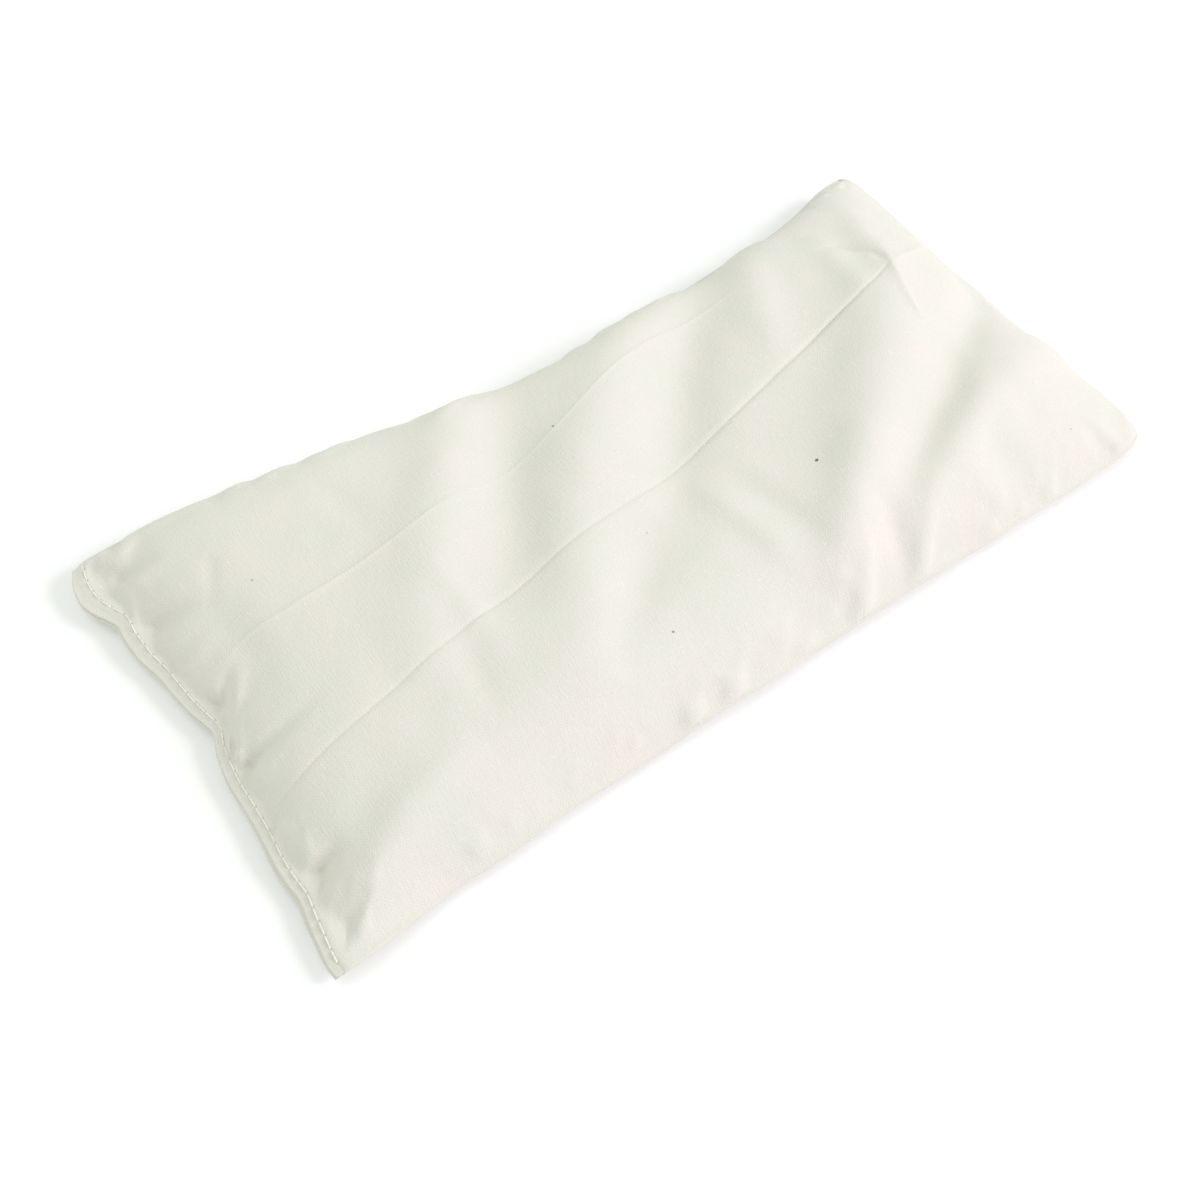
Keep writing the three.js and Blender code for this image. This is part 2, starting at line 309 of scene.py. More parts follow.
# The settled seed's dunes and hollows
DUNES = [
    (1.8, 8, [(-70, -16), (-47, 12), (-12, 52)]),
    (-1.7, 7.5, [(-47, -15), (-36, -1), (-24, 18), (-6, 48)]),
    (2.1, 9, [(-44, -38), (-19, 0), (2, 20), (21, 34), (54, 48)]),
    (-2.3, 8, [(-22, -30), (9, 0), (25, 18), (68, 57)]),
    (2.7, 10, [(12, -52), (34, -32), (58, -10), (75, 5), (100, 28)]),
    (1.4, 20, [(18, -52), (44, -30), (68, -8), (84, 10), (112, 34)]),
    (-2.3, 5.5, [(24, -58), (34, -43), (45, -34.5), (69, -22), (88, -9), (118, 9)]),
    (1.6, 7, [(30, -52), (46, -41), (67, -31), (92, -25), (120, -17)]),
    (-0.9, 5, [(-36, -38), (-12, -16)]),
    (0.6, 3, [(5, -8), (11, -42)]),
    (-0.5, 3, [(13, -10), (19, -40)]),
    (-0.8, 3, [(36, -34), (33, -56)]),
    (-1.2, 5, [(84, -16), (112, 2)]),
    (1.0, 4.5, [(96, 40), (88, 26), (84, 6)]),
    (0.8, 4, [(78, 34), (75, 22), (73, 8)]),
    (1.3, 5, [(-118, -58), (-98, -44), (-84, -37), (-66, -33)]),
    (0.9, 5.5, [(40, 2), (50, 20), (56, 30), (62, 46)]),
    (0.9, 6, [(14, -47), (28, -34), (46, -18)]),
    (0.4, 3, [(-52, 6), (-51, -22)]),
    (-0.45, 3.5, [(-61, 40), (-57, 20)]),
    (-0.4, 3, [(-56, -10), (-61, -34)]),
    (-0.4, 4, [(-93, 30), (-92, -6)]),
    (-0.7, 5, [(66, -36), (72, -50)]),
]

# Pressed-in folds that run the length of the bag: a groove, and a fainter ridge. Each is y at x,
# and how strong it is at x
GROOVE = smooth_curve(
    [(-112, -24), (-106, -22), (-101, -19.5), (-97, -18.5), (-90, -17.2), (-80, -15.9)]
    + [(-60, -12.8), (-40, -10.2), (-20, -7.7), (0, -4.9), (20, -1.2), (40, 3.2), (60, 7.6)]
    + [(80, 12), (90, 15), (101, 18), (112, 21.5)]
)
GROOVE_DEPTH = smooth_curve(
    [(-108, 0), (-103, 0.25), (-90, 0.36), (0, 0.42), (78, 0.48), (88, 0.12), (110, 0)]
)
RIDGE = smooth_curve(
    [(-112, 4), (-105, 7), (-98, 11), (-95, 12.6), (-80, 13), (-65, 13), (-50, 13.8)]
    + [(-40, 14.7), (-20, 16.4), (-10, 18.6), (0, 21.6), (10, 24.8), (20, 27.4), (35, 28.9)]
    + [(45, 29.5), (70, 31), (112, 34)]
)
RIDGE_HEIGHT = smooth_curve([(-100, 0), (-94, 0.14), (-20, 0.14), (0, 0.2), (35, 0.26), (55, 0)])
PRESSED_WIDTH = 0.48  # in mm, in which either falls to about a third

CREASES = [  # where the groove meets the blind end's far corner
    (-0.75, 1.0, [(73, 29), (79, 26), (84, 19), (84, 12)]),
    (0.45, 0.9, [(82, 12.5), (90, 14.5), (99, 17), (108, 21)]),
    (0.8, 1.2, [(87, 19), (84, 12), (81, 4), (78, -6)]),
]

# The closing seam's own puckers, each line from the seam inwards
PUCKERS = [
    (-1.6, 2.8, [(-106, 45), (-101, 44), (-93, 42)]),
    (-2.4, 2.6, [(-107, 30), (-101, 29), (-92, 26)]),
    (-2.8, 2.2, [(-107, -36), (-102, -35), (-96, -33)]),
    (-1.4, 2.4, [(-107, -46), (-102, -45), (-96, -44)]),
    (1.2, 2.0, [(-106, 17), (-100, 17), (-92, 19)]),
]
PINCHES = [  # sharper, so added once the cloth has settled
    (-2.6, 1.3, [(-103, 8), (-100.5, 6), (-96, 11.5)]),
    (-2.6, 1.4, [(-103.5, -3), (-101, 0), (-97.5, 4)]),
    (1.7, 1.3, [(-104.5, -6), (-100, 2), (-92, 12)]),
    (-2.5, 1.7, [(-105, -8.5), (-97, -8), (-84, -7)]),
    (-1.3, 1.5, [(-103.5, 44.5), (-100, 43.5), (-94, 41.5)]),
    (0.6, 1.3, [(-105, 41), (-100, 40), (-94, 38)]),
    (-1.8, 1.7, [(-106, 31), (-102, 30), (-95, 28)]),
    (-1.9, 1.3, [(-106, -36), (-102.5, -35), (-97, -33.5)]),
    (-0.9, 1.3, [(-106, -47), (-103, -46), (-99, -45)]),
    (-1.2, 1.4, [(-105, 17), (-101, 16), (-95, 14)]),
    (-0.4, 1.6, [(-88, 32), (-95, 19)]),
]

# Where the small random puckers are: y along the closing seam, x along the sides, and y along
# the blind end
CLOSING_PUCKERS = np.arange(-44, 45, 5.2)
NEAR_PUCKERS = [-83, -52, -38, -22, -12, 3, 25, 35, 58, 70, 82, 95]
FAR_PUCKERS = [-96, -78, -60, -41, -33, -12, 8, 27, 47, 64, 86]
BLIND_PUCKERS = [-44, -31, -15, -4, 9, 22, 33, 45]


def seam_puckers():
    """Small puckers along all four seams."""
    rng = np.random.default_rng(51)
    strokes = []
    for y in CLOSING_PUCKERS:
        start = y + rng.uniform(-1.5, 1.5)
        rise = rng.uniform(0.4, 0.8) * rng.choice([-1, 1])
        length, skew = rng.uniform(6, 12), rng.uniform(-2, 2)
        line = [(-107.5, start), (-107.5 + length, start + skew)]
        strokes.append((rise, rng.uniform(1.3, 2), line))
    for x in NEAR_PUCKERS:
        strokes.append((rng.uniform(-0.3, -0.12), 1.7, [(x, -53), (x + rng.uniform(1, 4), -45)]))
    for x in FAR_PUCKERS:
        strokes.append((rng.uniform(-0.4, -0.2), 2.0, [(x, 50), (x + rng.uniform(-3, 2), 40)]))
    for y in BLIND_PUCKERS:
        strokes.append((rng.uniform(-0.5, 0.4), 1.8, [(110, y), (101, y + rng.uniform(-3, 3))]))
    return strokes


class Bag:
    """Places on the bag, measured from the CAD model's box."""

    def __init__(self):
        low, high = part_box("upper_panel")
        under_low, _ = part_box("lower_panel")
        self.half_length = (high.x - low.x) / 2 / MM
        self.half_width = (high.y - low.y) / 2 / MM
        self.crown = high.z / MM - DUNE_ROOM
        self.floor = under_low.z / MM
        self.puckers = PUCKERS + seam_puckers()

    def plan(self, a, b, side=1):
        """x and y of a place. side is 1 on the upper panel and -1 on the lower."""
        x, y = a * self.half_length, b * self.half_width
        near = NEAR_EDGE(a) + wavy(x, *NEAR_WAVES)
        far = FAR_EDGE(a) + wavy(x, *FAR_WAVES)
        closing = CLOSING_EDGE(b) + wavy(y, *CLOSING_WAVES)
        if side < 0:
            closing = closing - UNDER_HEM(b)
        blind = BLIND_EDGE(b) + wavy(y, *BLIND_WAVES)
        blunt = np.where(a > 0, *CORNER_BLUNT) * np.abs(a * b) ** 20
        reaching = np.abs(a) ** 7
        x = x + np.where(a < 0, closing, -blind) * reaching - np.sign(a) * blunt
        y = y + near * (1 - b) / 2 - far * (1 + b) / 2 - np.sign(b) * blunt
        return x, y

    def stitch_line(self, b):
        """The a of the topstitch at b."""
        return -1 + (STITCH_INSET + STITCH_SLANT * b) / self.half_length

    def across(self, a, y):
        """The b of the place at y."""
        near, far = NEAR_EDGE(a), FAR_EDGE(a)
        return (y - (near - far) / 2) / (self.half_width - (near + far) / 2)

    def seam_height(self, a, b):
        """Height of the seam's middle, carried on across the bag."""
        x, y = a * self.half_length, b * self.half_width
        level = NEAR_SEAM(a) * (1 - b) / 2 + FAR_SEAM(a) * (1 + b) / 2
        lift = wavy(x, *SIDE_LIFT) * np.abs(b) + wavy(y, *END_LIFT) * np.abs(a)
        droop = HEM_DROOP * smooth_step(1 - (1 + a) * self.half_length / HEM)
        return level + lift - droop

    def fullness(self, a, b):
        """How far up from the seam the even bag is: 0 at its edges and hem, 1 at its crown."""
        hem = 1 - (HEM + STITCH_SLANT * b) / self.half_length
        along = np.clip(np.where(a < 0, -a / hem, a), 0, 1)
        across = np.clip(np.abs(b), 0, 1)
        slope, wall = along ** np.where(a < 0, *END_FULLNESS), along**WALL_FULLNESS
        ends = (1 - WALL_SHARE) * slope + WALL_SHARE * wall
        return (1 - ends) * (1 - across ** np.where(b < 0, *SIDE_FULLNESS))

    def upper(self, a, b, x, y):
        """Height of the upper panel before its cloth settles."""
        seam = self.seam_height(a, b) + HALF_SEAM
        full = self.fullness(a, b)
        height = seam + (self.crown - seam) * full
        lumps = DUNE_SCALE * summed(dune, DUNES, x, y)
        for rise, size, seed in LUMPS:
            lumps = lumps + rise * patchy(x, y, size, seed)
        folds = summed(pucker, self.puckers, x, y)
        inside = smooth_step((1 - np.abs(b)) * PUCKER_EASE[0])
        inside = inside * smooth_step((1 - HEM / self.half_length - np.abs(a)) * PUCKER_EASE[1])
        return height + lumps * smooth_step(full * DUNE_EASE) + folds * inside

    def lower(self, a, b, x, y):
        """Height of the lower panel, which comes down from its seams to lie on the floor."""
        seam = self.seam_height(a, b) - HALF_SEAM
        from_end = (1 - np.abs(a)) * self.half_length - np.where(a < 0, HEM, 0)
        from_side = (1 - np.abs(b)) * self.half_width
        resting = smooth_step(from_end / LAID_WIDTH) * smooth_step(from_side / LAID_WIDTH)
        loose = 4 * resting * (1 - resting)
        rise, size, seed = LAID_RIPPLE
        ripple = loose * rise * patchy(x, y, size, seed)
        return seam + (self.floor - seam) * resting + ripple

    def pressed(self, a, x, y):
        """The relief of the pressed-in folds and creases."""
        sewn = 1 - HEM / self.half_length
        pinches = summed(pucker, PINCHES, x, y) * smooth_step((sewn + a) * PINCH_EASE)
        groove = -GROOVE_DEPTH(x) * np.exp(-np.abs(y - GROOVE(x)) / PRESSED_WIDTH)
        ridge = RIDGE_HEIGHT(x) * np.exp(-np.abs(y - RIDGE(x)) / PRESSED_WIDTH)
        return groove + ridge + pinches + summed(crease, CREASES, x, y)


# ---------------------------------------------------------------- settling the cloth

# The ties between points of the cloth's grid, as (rows on, columns on, stiffness): along the
# yarns, across the weave's diagonals, and over longer spans, which resist bending
TIES = [(1, 0, 1.0), (0, 1, 1.0), (1, 1, 0.4), (1, -1, 0.4), (2, 0, 0.6), (0, 2, 0.6)]
TIES += [(5, 0, 0.3), (0, 5, 0.3)]
TIE_PULL = 0.25  # share of a tie's error that each of its ends takes up in a round
SWING = 0.9  # share of its speed that a point keeps from round to round
SAG = 0.002  # in mm, how far the cloth sinks in a round
START_RIPPLE = 0.12, 3, 8  # rise and size in mm, then the seed
SETTLING_ROUNDS = 300

# The upper panel's extra cut: a share of its size all over, and more near the sides and each end,
# as (share, how far in it reaches in mm)
SPARE = 0.006
SIDE_SPARE, CLOSING_SPARE, BLIND_SPARE = (0.02, 6), (0.035, 10), (0.02, 8)

# How far the cloth may sink below the shape it starts from: all over, and more near the edges
GIVE, EDGE_GIVE = 0.05, (0.5, 8)


def tied(grid, on_rows, on_columns):
    """The two ends of every tie, as views into a grid of points."""
    rows, columns = grid.shape[:2]
    left, right = max(0, -on_columns), max(0, on_columns)
    first = grid[: rows - on_rows, left : columns - right]
    second = grid[on_rows:, right : columns - left]
    return first, second


def cut_ties(shape, cut):
    """Every tie as the cloth is cut: its rows and columns on, its pull, and its lengths."""
    ties = []
    for on_rows, on_columns, stiffness in TIES:
        first, second = tied(shape, on_rows, on_columns)
        span = np.linalg.norm(second - first, axis=-1)
        share = np.array([on_rows, abs(on_columns)], float) ** 2
        share /= share.sum()
        extra = sum(tied(c, on_rows, on_columns)[0] * w for c, w in zip(cut, share))
        ties.append((on_rows, on_columns, stiffness * TIE_PULL, span * (1 + extra)))
    return ties


def settle(shape, cut, ground, held, rounds):
    """Lets a sheet of cloth find its own folds over the seed.

    shape is the grid of points that the sheet starts from, cut is how much larger it is cut than
    that, along and across, ground is the seed's height under each point, and held marks the
    points that are sewn down.
    """
    ties = cut_ties(shape, cut)
    cloth = shape.copy()
    rise, size, seed = START_RIPPLE
    ripple = rise * patchy(shape[..., 0], shape[..., 1], size, seed)
    cloth[..., 2] += np.where(held, 0, ripple)
    before = cloth.copy()
    for _ in range(rounds):
        cloth, before = cloth + SWING * (cloth - before), cloth
        cloth[..., 2] -= SAG
        for on_rows, on_columns, pull, length in ties:
            first, second = tied(cloth, on_rows, on_columns)
            span = second - first
            apart = np.sqrt(np.einsum("ijk,ijk->ij", span, span))
            move = span * (pull * (1 - length / apart))[..., None]
            first += move
            second -= move
        cloth[..., 2] = np.maximum(cloth[..., 2], ground)
        cloth[held] = shape[held]
    return cloth


def smoothed(cloth, held, rounds=2):
    """Takes out unevenness no bigger than the grid's own cells."""
    for _ in range(rounds):
        inner = cloth[1:-1, 1:-1]
        around = (cloth[:-2, 1:-1] + cloth[2:, 1:-1] + cloth[1:-1, :-2] + cloth[1:-1, 2:]) / 4
        eased = np.where(held[1:-1, 1:-1, None], inner, inner * 0.5 + around * 0.5)
        cloth = cloth.copy()
        cloth[1:-1, 1:-1] = eased
    return cloth


# ---------------------------------------------------------------- meshes


def crowded(cells, crowding, dense_at=(), width=0.03, extra=2.0):
    """cells + 1 values from -1 to 1, closer at both ends and around the values in dense_at."""
    fine = np.linspace(-1, 1, 4001)
    density = 1 / (1 - crowding + crowding * np.pi / 2 * np.cos(fine * np.pi / 2))
    for middle in dense_at:
        density += extra * np.exp(-(((fine - middle) / width) ** 2))
    total = np.concatenate([[0], np.cumsum((density[1:] + density[:-1]) / 2)])
    values = np.interp(np.linspace(0, total[-1], cells + 1), total, fine)
    for middle in dense_at:
        values[np.abs(values - middle).argmin()] = middle
    return values


def cloth_grid(bag):
    """A grid of places, with rows of points that follow the pressed-in groove and ridge."""
    a = crowded(CELLS_LONG, 0.35)
    lines = -0.2, 0.4  # the even rows that are bent to follow the groove and the ridge
    base = crowded(CELLS_CROSS, 0.25, lines, width=0.02, extra=2.5)
    groove = bag.across(a, GROOVE(a * bag.half_length))
    ridge = bag.across(a, RIDGE(a * bag.half_length))
    b = np.array([np.interp(base, [-1, *lines, 1], [-1, g, r, 1]) for g, r in zip(groove, ridge)])
    return np.repeat(a[:, None], len(base), 1), b


def fading(distance, rise, reach):
    """rise at an edge, which fades away over about reach mm from it."""
    return rise * np.exp(-distance / reach)


def upper_sheet(bag, a, b):
    """Points of the upper panel's face, settled over the seed."""
    inner = inside_folds(bag, a, b)
    x, y = bag.plan(*inner)
    z = bag.upper(a, b, x, y)
    from_closing = (1 + a) * bag.half_length
    from_blind = (1 - a) * bag.half_length
    from_side = (1 - np.abs(b)) * bag.half_width
    cut_along = SPARE + fading(from_side, *SIDE_SPARE)
    cut_across = SPARE + fading(from_closing, *CLOSING_SPARE) + fading(from_blind, *BLIND_SPARE)
    stitched = a < bag.stitch_line(b) + STITCH_HOLD / bag.half_length
    held = stitched | (from_blind <= 0) | (from_side <= 0)
    give = GIVE + fading(np.minimum(from_closing, from_side * 1.5), *EDGE_GIVE)
    shape = np.stack([x, y, z], -1)
    cloth = settle(shape, (cut_along, cut_across), z - give, held, SETTLING_ROUNDS)
    cloth = smoothed(cloth, held)
    cloth[..., 2] += bag.pressed(a, cloth[..., 0], cloth[..., 1])
    on_allowance = bag.seam_height(a, b) + HALF_SEAM
    cloth[..., 2] = np.maximum(cloth[..., 2], on_allowance)
    return cloth


def lower_sheet(bag, a, b):
    """Points of the lower panel's face, lying on the floor."""
    inner = inside_folds(bag, a, b)
    x, y = bag.plan(*inner, side=-1)
    return np.stack([x, y, bag.lower(a, b, x, y)], -1)


def inside_folds(bag, a, b):
    """The places of the panels' faces, which end where the cloth starts to turn in."""
    return a * (1 - FOLD_RADIUS / bag.half_length), b * (1 - FOLD_RADIUS / bag.half_width)


def rim(rows, columns):
    """Indices round the edge of a grid of vertices, anticlockwise seen from above."""
    at = np.arange(rows * columns).reshape(rows, columns)
    return np.concatenate([at[:-1, 0], at[-1, :-1], at[:0:-1, -1], at[0, :0:-1]])


def grid_quads(at):
    """Quads of a grid of vertex indices, facing up."""
    return np.stack([at[:-1, :-1], at[1:, :-1], at[1:, 1:], at[:-1, 1:]], -1).reshape(-1, 4)


def make_object(name, vertices, faces, material, uv=None):
    """A smooth-shaded object from vertices in mm, with the flat cloth's places as its UVs."""
    mesh = bpy.data.meshes.new(name)
    mesh.from_pydata((np.asarray(vertices) * MM).tolist(), [], faces)
    if uv is not None:
        layer = mesh.uv_layers.new(name="cloth_mm")
        corners = np.zeros(len(mesh.loops), int)
        mesh.loops.foreach_get("vertex_index", corners)
        layer.data.foreach_set("uv", np.asarray(uv)[corners].astype(np.float32).ravel())
    mesh.polygons.foreach_set("use_smooth", [True] * len(mesh.polygons))
    mesh.validate()
    mesh.update()
    obj = bpy.data.objects.new(name, mesh)
    bpy.context.scene.collection.objects.link(obj)
    mesh.materials.append(material)
    return obj


def fold_profile():
    """The turned-in edge, from the face round the fold to the end of the allowance.

    Each step is (inset, drop, used): how far in from the face's edge it is, how far below the
    face, and how much cloth it has taken up, in mm.
    """
    steps = []
    for turn in np.radians([60, 30, 0, -30, -60, -90]):
        inset, drop = -FOLD_RADIUS * math.cos(turn), FOLD_RADIUS * (1 - math.sin(turn))
        steps.append((inset, drop, FOLD_RADIUS * (math.pi / 2 - turn)))
    for inset in (1.5, 4, ALLOWANCE):
        steps.append((inset, 2 * FOLD_RADIUS, FOLD_RADIUS * math.pi + inset))
    return steps


def turned_in(bag, points, at, side):
    """Rings of points from a face's edge, at places at, to the end of the turned-in allowance.

    Each comes with the cloth that it has taken up inwards, in mm along and across the bag.
    """
    inward = -np.trunc(at)
    for inset, drop, used in fold_profile():
        ring = points.copy()
        ring[:, :2] += inward * inset
        within = at + inward * inset / (bag.half_length, bag.half_width)
        ring[:, 2] += bag.seam_height(*within.T) - bag.seam_height(*at.T) - side * drop
        yield ring, inward * used


def panel(name, bag, a, b, side, material):
    """One panel of cloth: its face on the seed, or under it, and its turned-in allowance."""
    rows, columns = a.shape
    face = (upper_sheet if side > 0 else lower_sheet)(bag, a, b).reshape(-1, 3)
    places = np.column_stack([a.ravel(), b.ravel()])
    flat = places * (bag.half_length, bag.half_width)
    edge = rim(rows, columns)
    vertices, uvs, rings = [face], [flat], [edge]
    for ring, used in turned_in(bag, face[edge], places[edge], side):
        rings.append(np.arange(len(edge)) + sum(map(len, vertices)))
        vertices.append(ring)
        uvs.append(flat[edge] - used)

    quads = grid_quads(np.arange(rows * columns).reshape(rows, columns))
    bands = [
        np.stack([outer, inner, np.roll(inner, -1), np.roll(outer, -1)], -1)
        for outer, inner in zip(rings, rings[1:])
    ]
    faces = np.concatenate([quads, *bands])
    if side < 0:
        faces = faces[:, ::-1]
    vertices, uvs = np.concatenate(vertices), np.concatenate(uvs)
    obj = make_object(name, vertices, faces.tolist(), material, uvs)
    thick = obj.modifiers.new("cloth", "SOLIDIFY")
    thick.thickness = CLOTH * MM
    thick.offset = -1
    return obj


# ---------------------------------------------------------------- threads


def across_path(path):
    """Unit vectors square to a path at each of its points: one level, one out of the cloth."""
    along = np.gradient(path, axis=0)
    along /= np.linalg.norm(along, axis=1, keepdims=True)
    level = np.cross([0.0, 0.0, 1.0], along)
    level /= np.linalg.norm(level, axis=1, keepdims=True)
    return level, np.cross(along, level)


def ply_tube(path, radius, sides, first_vertex):
    """A closed round tube along a path, and its faces."""
    level, out = across_path(path)
    turn = np.linspace(0, 2 * np.pi, sides, endpoint=False)
    ring = np.cos(turn)[:, None, None] * level + np.sin(turn)[:, None, None] * out
    points = (path[None] + radius * ring).transpose(1, 0, 2).reshape(-1, 3)
    faces = []
    for k in range(len(path) - 1):
        for j in range(sides):
            a, b = k * sides + j, k * sides + (j + 1) % sides
            faces.append([first_vertex + v for v in (a, a + sides, b + sides, b)])
    last = (len(path) - 1) * sides
    faces.append([first_vertex + j for j in range(sides)])
    faces.append([first_vertex + last + j for j in reversed(range(sides))])
    return points, faces


def thread(name, path, diameter, sides, material):
    """Two plies twisted round each other along a path of points."""
    level, out = across_path(path)
    run = np.concatenate([[0], np.cumsum(np.linalg.norm(np.diff(path, axis=0), axis=1))])
    turn = (2 * np.pi * run / (TWIST_PITCH * diameter))[:, None]
    points, faces = [], []
    for ply in (0, np.pi):
        shift = np.cos(turn + ply) * level + np.sin(turn + ply) * out
        middle = path + shift * diameter * PLY_SHIFT
        done = len(points) * len(path) * sides
        ply_points, ply_faces = ply_tube(middle, diameter * PLY_RADIUS, sides, done)
        points.append(ply_points)
        faces += ply_faces
    return make_object(name, np.concatenate(points), faces, material)


def closing_path(bag, side):
    """The topstitch: it lies on the hem for each stitch, and dips into the hole between two."""
    reach = 1 - STITCH_END / bag.half_width
    stitches = round(2 * reach * bag.half_width / STITCH_PITCH)
    b = np.linspace(-reach, reach, stitches * STEPS_PER_STITCH + 1)
    a = bag.stitch_line(b)
    x, y = bag.plan(*inside_folds(bag, a, b))
    surface = bag.upper(a, b, x, y) if side > 0 else bag.lower(a, b, x, y)
    stitch = np.arange(len(b)) / STEPS_PER_STITCH
    arch = np.abs(np.sin(np.pi * stitch)) ** 0.55
    lift = STITCH_DIP + (THREAD * STITCH_CREST - STITCH_DIP) * arch
    return np.column_stack([x, y, surface + side * lift])


def side_path(bag, side):
    """The hidden seam, from the hem down the near side, round the blind end and back."""
    inset_a = 1 - SIDE_STITCH_INSET / bag.half_length
    inset_b = 1 - SIDE_STITCH_INSET / bag.half_width
    corners = [(SIDE_STITCH_START, -inset_b), (inset_a, -inset_b), (inset_a, inset_b)]
    corners.append((SIDE_STITCH_START, inset_b))
    places = []
    for (a0, b0), (a1, b1) in zip(corners, corners[1:]):
        length = math.hypot((a1 - a0) * bag.half_length, (b1 - b0) * bag.half_width)
        t = np.arange(0, 1, SIDE_STEP / length)[:, None]
        places.append((1 - t) * (a0, b0) + t * (a1, b1))
    a, b = np.concatenate(places).T
    x, y = bag.plan(a, b)
    stitch = np.arange(len(a)) * SIDE_STEP / STITCH_PITCH
    wave = 0.03 * np.cos(2 * np.pi * stitch)
    return np.column_stack([x, y, bag.seam_height(a, b) + side * (FOLD_RADIUS + wave)])


# ---------------------------------------------------------------- seed


def seed_bumps(x, y, seed):
    """How far the outermost seeds stand out, from 0 to SEED_RISE, over the plan."""
    rng = np.random.default_rng(seed)
    pitch_x, pitch_y = SEED_LENGTH * SEED_PACKING[0], SEED_WIDTH * SEED_PACKING[1]
    half_x, half_y = SEEDED_AREA
    shape = int(2 * half_x / pitch_x) + 3, int(2 * half_y / pitch_y) + 3
    shift_x, shift_y, turn = (rng.uniform(-0.5, 0.5, shape) for _ in range(3))
    gx, gy = (x + half_x) / pitch_x, (y + half_y) / pitch_y
    i, j = gx.astype(int), gy.astype(int)
    rise = np.zeros(x.shape)
    for near_i in (-1, 0, 1):
        for near_j in (-1, 0, 1):
            cell = np.clip(i + near_i, 0, shape[0] - 1), np.clip(j + near_j, 0, shape[1] - 1)
            dx = (gx - cell[0] - 0.5 - SEED_STRAY * shift_x[cell]) * pitch_x
            dy = (gy - cell[1] - 0.5 - SEED_STRAY * shift_y[cell]) * pitch_y
            cos, sin = np.cos(turn[cell] * SEED_TURN), np.sin(turn[cell] * SEED_TURN)
            u = (dx * cos + dy * sin) / (SEED_LENGTH / 2)
            v = (dy * cos - dx * sin) / (SEED_WIDTH / 2)
            rise = np.maximum(rise, SEED_RISE * np.sqrt(np.clip(1 - u * u - v * v, 0, 1)))
    return rise


def seed_body(bag, material):
    """The settled seed: a closed body that fills the bag, with the seeds showing all over it."""
    steps_a = np.linspace(-1, 1, SEED_CELLS_LONG + 1)
    steps_b = np.linspace(-1, 1, SEED_CELLS_CROSS + 1)
    sa, sb = np.meshgrid(np.sin(steps_a * np.pi / 2) * 0.4 + steps_a * 0.6, steps_b, indexing="ij")
    hem = SEED_FROM_END / bag.half_length
    ga = sa * (1 - hem) + 0.3 * (hem - SEED_FROM_SIDE / bag.half_length) * (1 + sa)
    gb = sb * (1 - SEED_FROM_SIDE / bag.half_width)
    x, y = bag.plan(ga, gb)
    under_cloth = bag.upper(ga, gb, x, y) - CLOTH - SEED_GAP - SEED_RISE
    over_cloth = np.maximum(bag.lower(ga, gb, x, y) + CLOTH + SEED_GAP + SEED_RISE, 0)
    middle = bag.seam_height(ga, gb)
    rim_fade = smooth_step((1 - np.maximum(np.abs(sa), np.abs(sb))) * 14)
    top = middle + np.maximum(under_cloth - middle, SEED_EDGE) * rim_fade
    bottom = middle + np.minimum(over_cloth - middle, -SEED_EDGE) * rim_fade
    top += seed_bumps(x, y, 61) * rim_fade
    bottom -= seed_bumps(x, y, 62) * rim_fade
    rows, columns = sa.shape
    upper = np.stack([x, y, top], -1).reshape(-1, 3)
    lower = np.stack([x, y, bottom], -1)[1:-1, 1:-1].reshape(-1, 3)
    at = np.arange(rows * columns).reshape(rows, columns)
    below = at.copy()
    below[1:-1, 1:-1] = rows * columns + np.arange(len(lower)).reshape(rows - 2, columns - 2)
    faces = np.concatenate([grid_quads(at), grid_quads(below)[:, ::-1]])
    return make_object("flaxseed", np.concatenate([upper, lower]), faces.tolist(), material)


# ---------------------------------------------------------------- materials


